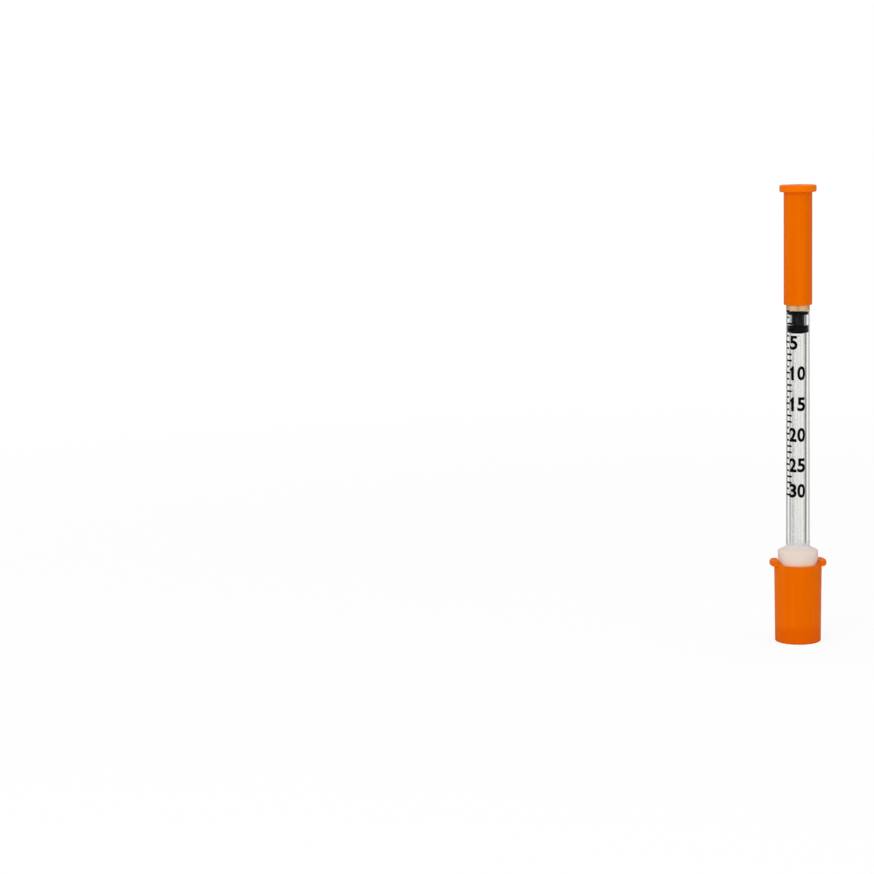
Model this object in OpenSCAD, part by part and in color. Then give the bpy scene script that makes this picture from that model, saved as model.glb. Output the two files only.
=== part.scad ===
// Insulin syringe with a fixed needle, 0.3 ml in 30 units, with both of its caps on.
// It stands on its plunger cap, needle cap up, and its axis is the Z axis.
// The base of the plunger cap is at z = 0. Every length is in millimetres.

/* [Bore and travel] */
// Diameter of the bore: with the travel below it holds 0.3 ml
bore_d = 3.07; // [2.9:0.01:3.3]
// Travel of the stopper from the zero mark to the full mark
stroke_l = 40.5; // [25:0.5:60]
// Bore between the full mark and the mouth
tail_l = 13.6; // [8:0.1:20]

/* [Barrel] */
// Wall of the tube at the needle end
barrel_wall = 1.03; // [0.9:0.01:1.2]
// Growth of the tube's radius from the needle end to the flange
barrel_draft = 0.035; // [0:0.005:0.08]
// Thickness of the end wall between the bore and the hub
end_wall = 1.2; // [0.8:0.05:2]
// Width of the lead-in round the mouth of the bore
mouth_flare = 0.3; // [0.1:0.05:0.5]

/* [Finger flange] */
// Diameter of the finger flange
flange_d = 8.86; // [8.2:0.02:10]
// Height of the skirt under the flange's edge
skirt_h = 4; // [3:0.1:6]
// Wall of the skirt
skirt_wall = 0.45; // [0.35:0.05:0.7]
// Thickness of the flange's plate at its edge
flange_plate = 0.9; // [0.6:0.05:1.4]
// Rise of the flange's sloping top from edge to tube
flange_rise = 0.9; // [0.4:0.05:1.4]
// Radius of the flange's upper edge
flange_edge = 0.2; // [0.1:0.05:0.3]

/* [Needle hub] */
// Width of the shoulder that the needle cap stands over
shoulder_w = 0.265; // [0.2:0.005:0.4]
// Height of the collar that centres the needle cap
collar_h = 1.2; // [0.8:0.1:2]
// Length of the hub from the shoulder to its end
hub_l = 6.4; // [5.6:0.1:9]
// Diameter of the hub's stem at the collar
stem_d = 3.1; // [2.6:0.1:3.4]
// Diameter of the stem at its end
stem_tip_d = 2.3; // [1.9:0.1:2.5]
// Number of fins along the stem
fin_count = 4; // [3:1:6]
// Thickness of each fin
fin_t = 0.6; // [0.4:0.05:0.8]
// Length of each fin
fin_l = 3.4; // [2:0.1:4]
// Step from the collar's surface down to the fins' edges
fin_step = 0.14; // [0.08:0.01:0.3]
// Diameter of the well for the adhesive
well_d = 1.3; // [0.9:0.1:1.5]
// Depth of the well
well_depth = 1.6; // [1:0.1:2.4]

/* [Needle] */
// Outside diameter of the steel tube
needle_d = 0.33; // [0.25:0.01:0.41]
// Diameter of the passage in the tube
lumen_d = 0.18; // [0.1:0.01:0.2]
// Length of the needle that stands out of the hub
needle_l = 12.7; // [6:0.1:14]
// Angle of the long bevel to the needle's axis
bevel_angle = 13; // [11:1:18]
// Angle of the two side facets to the needle's axis
facet_angle = 20; // [18:1:26]
// Turn of the side facets to either side of the bevel
facet_turn = 32; // [20:1:45]
// Distance of the needle's lower end from the bore
needle_setback = 0.25; // [0.1:0.05:0.6]
// Rise of the adhesive up the needle
meniscus_h = 0.35; // [0.2:0.05:0.6]

/* [Needle cap] */
// Wall of the needle cap at its mouth
cap_wall = 0.75; // [0.6:0.05:1]
// Taper of the cap's hollow from mouth to roof, on the radius
cap_taper = 0.15; // [0:0.01:0.3]
// Room above the needle's point
tip_room = 5.45; // [2:0.05:8]
// Thickness of the cap's closed end
cap_roof = 1.6; // [1.2:0.1:2.4]
// Reach of the end flange beyond the tube
end_flange_reach = 0.92; // [0.5:0.02:1.4]
// Thickness of the end flange
end_flange_t = 1.5; // [1:0.1:2.2]
// Radius of the end flange's edges
end_flange_edge = 0.3; // [0.1:0.05:0.45]
// Radius of the bead round the cap's mouth
cap_lip = 0.2; // [0.1:0.05:0.3]
// Width of the ribs inside the cap that sit between the hub's fins
grip_rib_t = 0.5; // [0.3:0.05:0.8]
// Height of those ribs above the cap's inner wall
grip_rib_h = 0.35; // [0.2:0.05:0.5]
// Diameter of the dimple at the moulding gate
gate_d = 1.6; // [1:0.1:2.4]
// Depth of the dimple
gate_depth = 0.25; // [0.1:0.05:0.5]

/* [Plunger rod] */
// Gap between the rod and the bore, on the radius
rod_gap = 0.16; // [0.12:0.01:0.3]
// Thickness of the rod's crossed ribs
rib_t = 0.62; // [0.4:0.02:0.9]
// Length of rod between the thumb rest and the barrel with the stopper home
rod_free_l = 12.75; // [8:0.05:20]
// Diameter of the thumb rest
thumb_d = 7.2; // [6:0.1:7.6]
// Thickness of the thumb rest
thumb_t = 1; // [0.8:0.05:1.4]
// Radius of the thumb rest's edge
thumb_edge = 0.3; // [0.1:0.05:0.35]
// Depth of the dish under the thumb rest
dish_depth = 0.2; // [0.1:0.05:0.3]
// Width of the rim round the dish
dish_rim_w = 0.8; // [0.5:0.1:1.4]
// Height of the gussets on the thumb rest
gusset_h = 3.2; // [1.5:0.1:5]
// Thickness of the disc that pushes the stopper
pusher_t = 0.6; // [0.4:0.05:1]
// Diameter of the neck below the snap head
snap_neck_d = 1; // [0.8:0.05:1.1]
// Length of that neck
snap_neck_l = 1.3; // [0.9:0.05:1.5]
// Diameter of the snap head
head_d = 1.9; // [1.6:0.05:2]
// Height of the head's straight band
head_band_h = 0.3; // [0.2:0.05:0.5]
// Length of the snap head
head_l = 1.7; // [1.3:0.05:1.9]
// Diameter of the head's flat end
head_tip_d = 0.8; // [0.5:0.05:1]

/* [Stopper] */
// Length of the stopper
stopper_l = 4.9; // [4.6:0.1:6]
// Height of the sealing ring at the front
front_ring_h = 0.87; // [0.7:0.01:1.2]
// Height of the sealing ring at the rear
rear_ring_h = 1.75; // [1.2:0.05:2]
// Depth of the waist between the rings below the bore's radius
waist_depth = 0.1; // [0.05:0.01:0.15]
// Radius of the rings' edges
ring_edge = 0.15; // [0.05:0.05:0.3]

/* [Plunger cap] */
// Wall of the cup round the flange's skirt
cup_wall = 0.75; // [0.6:0.05:1]
// Growth of the cup's radius from base to mouth
cup_draft = 0.2; // [0:0.02:0.3]
// Width of the ledge inside the mouth that the skirt stands over
ledge_w = 0.3; // [0.2:0.05:0.4]
// Depth of the mouth from the lugs' top to the ledge
mouth_depth = 1.95; // [1.8:0.05:3]
// Thickness of the cup's floor
cup_floor = 1.1; // [0.8:0.1:1.6]
// Width of the foot ring under the cup
foot_w = 1; // [0.8:0.1:1.5]
// Height of the foot ring
foot_h = 1.5; // [0.6:0.1:2.5]
// Radius of the cup's lower edge
base_edge = 0.35; // [0.1:0.05:0.6]
// Reach of the lugs beyond the cup
lug_reach = 1.03; // [0.6:0.01:1.6]
// Width of each lug
lug_w = 5; // [3.5:0.1:6]
// Thickness of each lug
lug_t = 1.2; // [1.1:0.1:2]
// Radius of the lugs' upper and lower edges
lug_edge = 0.45; // [0.1:0.05:0.5]
// Radius of the lugs' corners seen from above
lug_corner = 1; // [0.4:0.1:1.4]
// Width of the flat floor of the notches in the mouth
notch_w = 6.4; // [3:0.1:6.6]
// Depth of the notches
notch_depth = 0.9; // [0.4:0.05:1.3]
// Radius of the notches' sides
notch_r = 1.3; // [1.3:0.1:1.8]
// Number of ribs inside the cup that centre the thumb rest
guide_rib_count = 4; // [3:1:6]
// Width of each of those ribs
guide_rib_t = 0.5; // [0.3:0.05:0.8]
// Length of each of those ribs
guide_rib_l = 9.5; // [4:0.1:11]
// Turn of the plunger cap on the barrel, in degrees
cap_turn = 33; // [0:1:90]

/* [Fits] */
// Radial clearance of the sealing rings in the bore
ring_fit = 0.02; // [0.01:0.005:0.05]
// Radial clearance of the needle cap on its collar
collar_fit = 0.05; // [0.02:0.01:0.1]
// Radial clearance of the flange's skirt in the cup's mouth
skirt_fit = 0.07; // [0.03:0.01:0.1]
// Clearance all round the snap head in the stopper
snap_fit = 0.05; // [0.03:0.01:0.08]
// Radial clearance of the thumb rest between the ribs of the cup
thumb_fit = 0.1; // [0.05:0.01:0.2]
// Gap left where one piece stands on the next
seat_gap = 0.05; // [0.02:0.01:0.1]
// Radial clearance of the needle in its passage through the hub
needle_fit = 0.03; // [0.01:0.01:0.06]
// Gap between the adhesive and what it bonds
bond_gap = 0.01; // [0.005:0.005:0.02]

/* [Hidden] */
$fn = 96;

// How far a cut runs past the face that it opens
overrun = 0.5;

// Radii
bore_r = bore_d / 2;
tube_tip_r = bore_r + barrel_wall;
tube_base_r = tube_tip_r + barrel_draft;
flange_r = flange_d / 2;
collar_r = tube_tip_r - shoulder_w;
fin_r = collar_r - fin_step;
needle_r = needle_d / 2;
cap_bore_r = collar_r + collar_fit;
cap_r = cap_bore_r + cap_wall;
end_flange_r = cap_r + end_flange_reach;
rod_r = bore_r - rod_gap;
thumb_r = thumb_d / 2;
cup_mouth_r = flange_r + skirt_fit;
cup_top_r = cup_mouth_r + cup_wall;
cup_base_r = cup_top_r - cup_draft;
ledge_r = cup_mouth_r - ledge_w;
lug_r = cup_top_r + lug_reach;

// Heights, from the base of the plunger cap upwards
cup_floor_z = foot_h + cup_floor;
thumb_z = cup_floor_z + seat_gap;
thumb_top_z = thumb_z + thumb_t;
skirt_z = thumb_top_z + rod_free_l;
ledge_z = skirt_z - seat_gap;
cup_top_z = ledge_z + mouth_depth;
flange_z = skirt_z + skirt_h;
bore_z = flange_z - flange_plate;
bore_end_z = bore_z + tail_l + stroke_l + seat_gap;
shoulder_z = bore_end_z + end_wall;
hub_end_z = shoulder_z + hub_l;
point_z = hub_end_z + needle_l;
cap_mouth_z = shoulder_z + seat_gap;
cap_roof_z = point_z + tip_room;
cap_top_z = cap_roof_z + cap_roof;
stopper_z = bore_end_z - seat_gap - stopper_l;
pusher_top_z = stopper_z - snap_fit;
head_z = pusher_top_z + snap_neck_l;

// Half section of a disc on the axis whose two rims are rounded
module disc_section(radius, height, edge) {
    square([radius - edge, height]);
    translate([0, edge]) square([radius, height - 2 * edge]);
    translate([radius - edge, edge]) circle(edge);
    translate([radius - edge, height - edge]) circle(edge);
}

// Flat plate in the plane of the axis, given by points of [radius, height]
module radial_plate(points, thickness) {
    rotate([90, 0, 0])
        linear_extrude(height = thickness, center = true)
            polygon(points);
}

module cup_shell() {
    rotate_extrude() {
        polygon([
            [0, 0],
            [cup_base_r - base_edge, 0],
            [cup_base_r - base_edge, base_edge],
            [cup_base_r, base_edge],
            [cup_top_r, cup_top_z],
            [0, cup_top_z]
        ]);
        translate([cup_base_r - base_edge, base_edge]) circle(base_edge);
    }
}

// The two lugs are what is left of a round rim between two parallel cuts
module cup_lugs() {
    corner_y = lug_w / 2 - lug_corner;
    corner_x = sqrt(pow(lug_r - lug_corner, 2) - pow(corner_y, 2));
    tangent_y = corner_y * lug_r / (lug_r - lug_corner);
    intersection() {
        translate([0, 0, cup_top_z - lug_t])
            rotate_extrude()
                disc_section(lug_r, lug_t, lug_edge);
        translate([0, 0, cup_top_z - lug_t - overrun])
            linear_extrude(height = lug_t + 2 * overrun) {
                square([2 * corner_x, lug_w], center = true);
                square([2 * lug_r, 2 * tangent_y], center = true);
                for (x = [-corner_x, corner_x], y = [-corner_y, corner_y])
                    translate([x, y]) circle(lug_corner);
            }
    }
}

// Hollow of the cup: the wide mouth for the skirt, the ledge and the tapered well
module cup_hollow() {
    rotate_extrude()
        polygon([
            [0, cup_floor_z],
            [ledge_r - cup_draft / 2, cup_floor_z],
            [ledge_r, ledge_z],
            [cup_mouth_r, ledge_z],
            [cup_mouth_r, cup_top_z + overrun],
            [0, cup_top_z + overrun]
        ]);
    translate([0, 0, -overrun])
        cylinder(h = foot_h + overrun, r = cup_base_r - foot_w);
}

// Notch across the mouth, front and back, with rounded sides
module cup_notch() {
    notch_z = cup_top_z - notch_depth;
    rotate([90, 0, 0])
        linear_extrude(height = 2 * lug_r, center = true) {
            translate([-notch_w / 2, notch_z])
                square([notch_w, notch_r]);
            for (x = [-notch_w / 2, notch_w / 2])
                translate([x, notch_z + notch_r]) circle(notch_r);
        }
}

module cup_guide_ribs() {
    rib_in_r = thumb_r + thumb_fit;
    rib_out_r = ledge_r + ledge_w / 2;
    for (i = [0 : guide_rib_count - 1])
        rotate([0, 0, 360 / guide_rib_count * (i + 1 / 2)])
            radial_plate([
                [rib_in_r, cup_floor_z - cup_floor / 2],
                [rib_out_r, cup_floor_z - cup_floor / 2],
                [rib_out_r, cup_floor_z + guide_rib_l],
                [ledge_r - cup_draft, cup_floor_z + guide_rib_l],
                [rib_in_r, cup_floor_z + guide_rib_l - (ledge_r - rib_in_r)]
            ], guide_rib_t);
}

module plunger_cap() {
    color("darkorange")
        rotate([0, 0, cap_turn]) {
            difference() {
                union() {
                    cup_shell();
                    cup_lugs();
                }
                cup_hollow();
                cup_notch();
            }
            cup_guide_ribs();
        }
}

module rod_thumb_rest() {
    difference() {
        translate([0, 0, thumb_z])
            rotate_extrude()
                disc_section(thumb_r, thumb_t, thumb_edge);
        translate([0, 0, thumb_z - overrun])
            cylinder(h = dish_depth + overrun, r = thumb_r - dish_rim_w);
    }
}

// Four ribs in a cross, rounded to the bore, with a gusset under each
module rod_stem() {
    intersection() {
        translate([0, 0, thumb_top_z])
            cylinder(h = pusher_top_z - thumb_top_z, r = rod_r);
        for (turn = [0, 90])
            rotate([0, 0, turn])
                translate([-rod_r, -rib_t / 2, thumb_z])
                    cube([2 * rod_r, rib_t, pusher_top_z - thumb_z]);
    }
    for (i = [0 : 3])
        rotate([0, 0, 90 * i])
            radial_plate([
                [0, thumb_z + thumb_t / 2],
                [thumb_r - dish_rim_w, thumb_z + thumb_t / 2],
                [thumb_r - dish_rim_w, thumb_top_z],
                [rod_r, thumb_top_z + gusset_h],
                [0, thumb_top_z + gusset_h]
            ], rib_t);
}

// Pusher disc, neck and barbed head that snaps into the stopper
module rod_snap_head() {
    rotate_extrude()
        polygon([
            [0, pusher_top_z - pusher_t],
            [rod_r, pusher_top_z - pusher_t],
            [rod_r, pusher_top_z],
            [snap_neck_d / 2, pusher_top_z],
            [snap_neck_d / 2, head_z],
            [head_d / 2, head_z],
            [head_d / 2, head_z + head_band_h],
            [head_tip_d / 2, head_z + head_l],
            [0, head_z + head_l]
        ]);
}

module plunger_rod() {
    color("whitesmoke") {
        rod_thumb_rest();
        rod_stem();
        rod_snap_head();
    }
}

// Pocket in the stopper: the head's own outline with a clearance all round
module stopper_pocket() {
    rotate_extrude()
        polygon([
            [0, stopper_z - overrun],
            [snap_neck_d / 2 + snap_fit, stopper_z - overrun],
            [snap_neck_d / 2 + snap_fit, head_z - snap_fit],
            [head_d / 2 + snap_fit, head_z - snap_fit],
            [head_d / 2 + snap_fit, head_z + head_band_h + snap_fit],
            [head_tip_d / 2 + snap_fit, head_z + head_l + snap_fit],
            [0, head_z + head_l + snap_fit]
        ]);
}

module stopper() {
    ring_r = bore_r - ring_fit;
    color("black")
        difference() {
            rotate_extrude() {
                translate([0, stopper_z])
                    disc_section(ring_r, rear_ring_h, ring_edge);
                translate([0, stopper_z + stopper_l - front_ring_h])
                    disc_section(ring_r, front_ring_h, ring_edge);
                translate([0, stopper_z + ring_edge])
                    square([bore_r - waist_depth, stopper_l - 2 * ring_edge]);
            }
            stopper_pocket();
        }
}

// Outside of tube and finger flange; the flange's upper edge is rounded
module barrel_body() {
    rotate_extrude() {
        polygon([
            [0, skirt_z],
            [flange_r, skirt_z],
            [flange_r, flange_z - flange_edge],
            [flange_r - flange_edge, flange_z],
            [tube_base_r, flange_z + flange_rise],
            [tube_tip_r, shoulder_z],
            [0, shoulder_z]
        ]);
        translate([flange_r - flange_edge, flange_z - flange_edge])
            circle(flange_edge);
    }
}

module barrel_hub() {
    hub_chamfer = shoulder_w / 2;
    rotate_extrude()
        polygon([
            [0, shoulder_z - end_wall / 2],
            [collar_r, shoulder_z - end_wall / 2],
            [collar_r, shoulder_z + collar_h - hub_chamfer],
            [collar_r - hub_chamfer, shoulder_z + collar_h],
            [stem_d / 2, shoulder_z + collar_h],
            [stem_tip_d / 2, hub_end_z - hub_chamfer],
            [stem_tip_d / 2 - hub_chamfer, hub_end_z],
            [0, hub_end_z]
        ]);
    fin_z = shoulder_z + collar_h;
    for (i = [0 : fin_count - 1])
        rotate([0, 0, 360 / fin_count * i])
            radial_plate([
                [needle_d, fin_z - collar_h / 2],
                [fin_r, fin_z - collar_h / 2],
                [fin_r, fin_z + fin_l - fin_r + stem_d / 2],
                [stem_d / 2, fin_z + fin_l],
                [needle_d, fin_z + fin_l]
            ], fin_t);
}

// Skirt hollow, lead-in, bore, needle passage and adhesive well in one outline
module barrel_hollow() {
    skirt_in_r = flange_r - skirt_wall;
    passage_r = needle_r + needle_fit;
    well_z = hub_end_z - well_depth;
    rotate_extrude()
        polygon([
            [0, skirt_z - overrun],
            [skirt_in_r, skirt_z - overrun],
            [skirt_in_r, bore_z],
            [bore_r + mouth_flare, bore_z],
            [bore_r, bore_z + mouth_flare],
            [bore_r, bore_end_z],
            [passage_r, bore_end_z],
            [passage_r, well_z],
            [well_d / 2, well_z],
            [well_d / 2, hub_end_z + overrun],
            [0, hub_end_z + overrun]
        ]);
}

module barrel() {
    color("gainsboro")
        difference() {
            union() {
                barrel_body();
                barrel_hub();
            }
            barrel_hollow();
        }
}

// Block that grinds one facet through the needle's point, leaning from the axis
module ground_facet(turn, lean) {
    side = needle_l;
    translate([0, -needle_r, point_z])
        rotate([lean, 0, turn])
            translate([-side / 2, 0, -side / 2])
                cube([side, side, side]);
}

module needle() {
    needle_z = bore_end_z + needle_setback;
    color("silver")
        difference() {
            translate([0, 0, needle_z])
                cylinder(h = point_z - needle_z, r = needle_r);
            translate([0, 0, needle_z - overrun])
                cylinder(h = point_z - needle_z + 2 * overrun, r = lumen_d / 2);
            ground_facet(0, bevel_angle);
            for (turn = [-facet_turn, facet_turn])
                ground_facet(turn, facet_angle);
        }
}

module needle_adhesive() {
    well_floor_z = hub_end_z - well_depth;
    color("lightyellow")
        rotate_extrude()
            polygon([
                [needle_r + bond_gap, well_floor_z + bond_gap],
                [well_d / 2 - bond_gap, well_floor_z + bond_gap],
                [well_d / 2 - bond_gap, hub_end_z - bond_gap],
                [needle_d, hub_end_z + meniscus_h / 4],
                [needle_r + bond_gap, hub_end_z + meniscus_h]
            ]);
}

// Tube with a rounded lip at the mouth and a flange at the closed end
module cap_body() {
    rotate_extrude() {
        polygon([
            [0, cap_mouth_z],
            [cap_r - cap_lip, cap_mouth_z],
            [cap_r - cap_lip, cap_mouth_z + cap_lip],
            [cap_r, cap_mouth_z + cap_lip],
            [cap_r, cap_top_z - end_flange_t / 2],
            [0, cap_top_z - end_flange_t / 2]
        ]);
        translate([cap_r - cap_lip, cap_mouth_z + cap_lip]) circle(cap_lip);
        translate([0, cap_top_z - end_flange_t])
            disc_section(end_flange_r, end_flange_t, end_flange_edge);
    }
}

module cap_hollow() {
    rotate_extrude()
        polygon([
            [0, cap_mouth_z - overrun],
            [cap_bore_r, cap_mouth_z - overrun],
            [cap_bore_r, shoulder_z + collar_h],
            [cap_bore_r - cap_taper, cap_roof_z],
            [0, cap_roof_z]
        ]);
    translate([0, 0, cap_top_z - gate_depth])
        cylinder(h = gate_depth + overrun, r = gate_d / 2);
}

// Ribs inside the cap, between the fins of the hub
module cap_grip_ribs() {
    rib_z = shoulder_z + collar_h + seat_gap + fin_step;
    rib_in_r = cap_bore_r - grip_rib_h;
    rib_out_r = cap_bore_r + cap_wall / 2;
    for (i = [0 : fin_count - 1])
        rotate([0, 0, 360 / fin_count * (i + 1 / 2)])
            radial_plate([
                [rib_in_r + grip_rib_h, rib_z],
                [rib_out_r, rib_z],
                [rib_out_r, rib_z + fin_l],
                [rib_in_r, rib_z + fin_l],
                [rib_in_r, rib_z + grip_rib_h]
            ], grip_rib_t);
}

module needle_cap() {
    color("darkorange") {
        difference() {
            cap_body();
            cap_hollow();
        }
        cap_grip_ribs();
    }
}

plunger_cap();
plunger_rod();
stopper();
barrel();
needle();
needle_adhesive();
needle_cap();
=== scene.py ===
# %% [markdown]
# # An insulin syringe, standing on its plunger cap
#
# The imported CAD model is the frame of this scene: it fixes every size, and this file only gives
# the pieces their looks. The real thing is a small moulded product: a clear polypropylene barrel
# with a printed scale, a black rubber stopper on a cloudy plunger rod, a fine steel needle, and an
# orange polyethylene cap over each end. The axis of the syringe is the Z axis, its foot is at
# z = 0, and Blender works in metres.

# %% Load the frame, and a function for its box
import math

import bmesh
import bpy
from mathutils import Matrix, Vector


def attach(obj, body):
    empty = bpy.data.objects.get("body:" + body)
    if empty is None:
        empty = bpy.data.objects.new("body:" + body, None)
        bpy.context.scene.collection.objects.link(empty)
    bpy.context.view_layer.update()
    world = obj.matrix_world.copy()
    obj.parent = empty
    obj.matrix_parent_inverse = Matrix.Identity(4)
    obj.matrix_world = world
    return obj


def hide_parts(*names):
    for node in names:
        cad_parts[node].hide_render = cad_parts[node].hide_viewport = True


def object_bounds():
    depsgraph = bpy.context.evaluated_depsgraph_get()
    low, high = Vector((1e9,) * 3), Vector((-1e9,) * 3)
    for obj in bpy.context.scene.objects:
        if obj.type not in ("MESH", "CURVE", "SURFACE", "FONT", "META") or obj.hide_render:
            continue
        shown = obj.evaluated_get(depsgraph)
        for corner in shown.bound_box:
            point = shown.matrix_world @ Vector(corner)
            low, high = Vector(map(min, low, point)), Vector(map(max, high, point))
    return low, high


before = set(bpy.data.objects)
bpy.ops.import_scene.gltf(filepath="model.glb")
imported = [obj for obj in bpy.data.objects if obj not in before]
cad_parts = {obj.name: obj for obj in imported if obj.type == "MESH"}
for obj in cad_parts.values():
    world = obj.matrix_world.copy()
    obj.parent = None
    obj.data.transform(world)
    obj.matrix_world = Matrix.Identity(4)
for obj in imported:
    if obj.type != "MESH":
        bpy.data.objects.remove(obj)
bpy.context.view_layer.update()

# %% [markdown]
# ## Two helpers for node trees
#
# Materials and Geometry Nodes are both node trees, so one small function serves them all. It adds
# a node, sets its properties and fills its inputs. These come in their own order, or else by name
# or number. A plain value is written into its input, while a node or one of its outputs is linked
# to it. Colours are written as sRGB hex values, as a colour picker shows them, and one function
# turns them to the linear values that the renderer counts in.

# %% Node and colour helpers
MM = 0.001


def add(tree, kind, inputs=(), **properties):
    node = tree.nodes.new(kind)
    for name, value in properties.items():
        setattr(node, name, value)
    for key, value in inputs.items() if isinstance(inputs, dict) else enumerate(inputs):
        if isinstance(value, bpy.types.Node):
            value = value.outputs[0]
        if isinstance(value, bpy.types.NodeSocket):
            tree.links.new(value, node.inputs[key])
        else:
            node.inputs[key].default_value = value
    return node


def linear(hex_colour):
    channels = [int(hex_colour[i : i + 2], 16) / 255 for i in (0, 2, 4)]
    return [c / 12.92 if c <= 0.04045 else ((c + 0.055) / 1.055) ** 2.4 for c in channels] + [1.0]


print("a picker's mid grey is", round(linear("808080")[0], 3), "in linear light")

# %% [markdown]
# ## The camera
#
# A tall thin thing shows its foot from well above and its top almost from the side when the camera
# is near. Here the foot is seen from 12 degrees above and the end of the needle cap from 2, which
# puts the camera 58 cm away and 12.5 cm up. The syringe stands far right of the middle of the
# picture. Shifting the lens would carry over to every other view, so the camera is turned instead:
# its aim is worked out from two points of the axis and the places that they take in the picture.
# Two directions fix a rotation, and this one also takes out the lean that a tilted camera gives.

# %% Camera aimed by two points of the axis
PICTURE = 874
FOCAL = 2640
FOOT_SEEN_AT, TOP_SEEN_AT = (797.9, 640.3), (797.95, 184.6)
SENSOR_W = 36
CAMERA_TURN = math.radians(25)
CAMERA_DISTANCE = 581.5 * MM
CAMERA_HEIGHT = 125 * MM
AWAY = Vector((-math.sin(CAMERA_TURN), math.cos(CAMERA_TURN), 0))
RIGHT = Vector((math.cos(CAMERA_TURN), math.sin(CAMERA_TURN), 0))
UP = Vector((0, 0, 1))


def sight(x, y):
    return Vector((x - PICTURE / 2, PICTURE / 2 - y, -FOCAL)).normalized()


def basis(first, second):
    side = first.cross(second).normalized()
    return Matrix((first, side, first.cross(side))).transposed()


def link(name, data):
    made = bpy.data.objects.new(name, data)
    bpy.context.scene.collection.objects.link(made)
    return made


camera_data = bpy.data.cameras.new("camera")
camera_data.sensor_width = SENSOR_W
camera_data.lens = SENSOR_W * FOCAL / PICTURE
camera = link("camera", camera_data)
bpy.context.scene.camera = camera

camera_place = -CAMERA_DISTANCE * AWAY + CAMERA_HEIGHT * UP
foot, top = Vector((0, 0, 0)), Vector((0, 0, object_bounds()[1].z))
seen = basis(sight(*FOOT_SEEN_AT), sight(*TOP_SEEN_AT))
there = basis((foot - camera_place).normalized(), (top - camera_place).normalized())
camera.matrix_world = Matrix.Translation(camera_place) @ (there @ seen.transposed()).to_4x4()
print("camera at", [round(1000 * c) for c in camera_place], "mm, lens", round(camera_data.lens, 1))

# %% [markdown]
# ## Light, background and floor
#
# The picture is a plain product shot: a white background, and soft light without hard shadows.
# The world gives even light to rough surfaces. What the camera itself sees of it is pure white,
# from its colour and from no extra light. Clear plastic needs more care, because it shows nothing
# but what it reflects and bends: in a white room all round, a clear tube vanishes. So light that
# has passed through something clear finds a room with white in front, behind, overhead and square
# to the sides, and with grey corners, the right ones darker. The tube bends the corners into view,
# and they draw its grey bands and its dark line. The white behind the camera is a little dimmer,
# because black rubber shows it as a veil. Light that is mirrored finds a darker room, above all on
# the camera's side, as in a studio, so that black rubber stays black behind its shiny wall.
#
# Cycles calls a ray that passes through rough glass glossy too. So the mirrored room is mixed in
# first and the seen-through room over it, and what the camera sees directly comes last.

# %% The two rooms
CORNER_LEFT, CORNER_RIGHT, WHITE_BEHIND = 0.42, 0.18, 0.78
MIRROR_NEAR, MIRROR_FAR = 0.1, 0.42
# How far a direction points along an axis where grey starts to turn, and where it is all white
AHEAD_WHITE, SIDE_WHITE, UP_WHITE = (0.72, 0.9), (0.9, 0.98), (0.35, 0.8)
SMOOTH = {"interpolation_type": "SMOOTHSTEP"}


def room_seen_through(tree, direction):
    ahead, sideways, upwards = (
        add(tree, "ShaderNodeVectorMath", (direction, axis), operation="DOT_PRODUCT").outputs[1]
        for axis in (AWAY, RIGHT, UP)
    )
    whites = []
    for part, turn_white in ((ahead, AHEAD_WHITE), (sideways, SIDE_WHITE)):
        either_way = add(tree, "ShaderNodeMath", (part,), operation="ABSOLUTE")
        whites.append(add(tree, "ShaderNodeMapRange", (either_way, *turn_white), **SMOOTH))
    white_share = add(tree, "ShaderNodeMath", whites, operation="MAXIMUM")
    corners = (sideways, -0.5, 0.5, CORNER_LEFT, CORNER_RIGHT)
    grey = add(tree, "ShaderNodeMapRange", corners, **SMOOTH)
    white = add(tree, "ShaderNodeMapRange", (ahead, -0.3, 0.3, WHITE_BEHIND, 1.0), **SMOOTH)
    level = add(tree, "ShaderNodeMix", {0: white_share, 2: grey, 3: white}, data_type="FLOAT")
    overhead = add(tree, "ShaderNodeMapRange", (upwards, *UP_WHITE), **SMOOTH)
    return add(tree, "ShaderNodeMix", {0: overhead, 2: level, 3: 1.0}, data_type="FLOAT")


def room_mirrored(tree, direction):
    ahead = add(tree, "ShaderNodeVectorMath", (direction, AWAY), operation="DOT_PRODUCT")
    walls = (ahead.outputs["Value"], -0.5, 0.85, MIRROR_NEAR, MIRROR_FAR)
    return add(tree, "ShaderNodeMapRange", walls, **SMOOTH)


# %% World
SOFT_LEVEL = 0.56


def empty_tree(owner):
    owner.use_nodes = True
    owner.node_tree.nodes.clear()
    return owner.node_tree


world = bpy.data.worlds.new("studio")
bpy.context.scene.world = world
tree = empty_tree(world)
direction = add(tree, "ShaderNodeTexCoord").outputs["Generated"]
path = add(tree, "ShaderNodeLightPath").outputs
level = SOFT_LEVEL
for kind, shown in (
    ("Is Glossy Ray", room_mirrored(tree, direction)),
    ("Is Transmission Ray", room_seen_through(tree, direction)),
    ("Is Camera Ray", 1.0),
):
    level = add(tree, "ShaderNodeMix", {0: path[kind], 2: level, 3: shown}, data_type="FLOAT")
light = add(tree, "ShaderNodeBackground", {"Color": linear("FFFFFF"), "Strength": level})
add(tree, "ShaderNodeOutputWorld", {"Surface": light})
print("world:", len(tree.nodes), "nodes")

# %% Soft lamps
LAMP_REACH = 0.9
LAMP_AIM = Vector((0, 0, 0.05))


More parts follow.
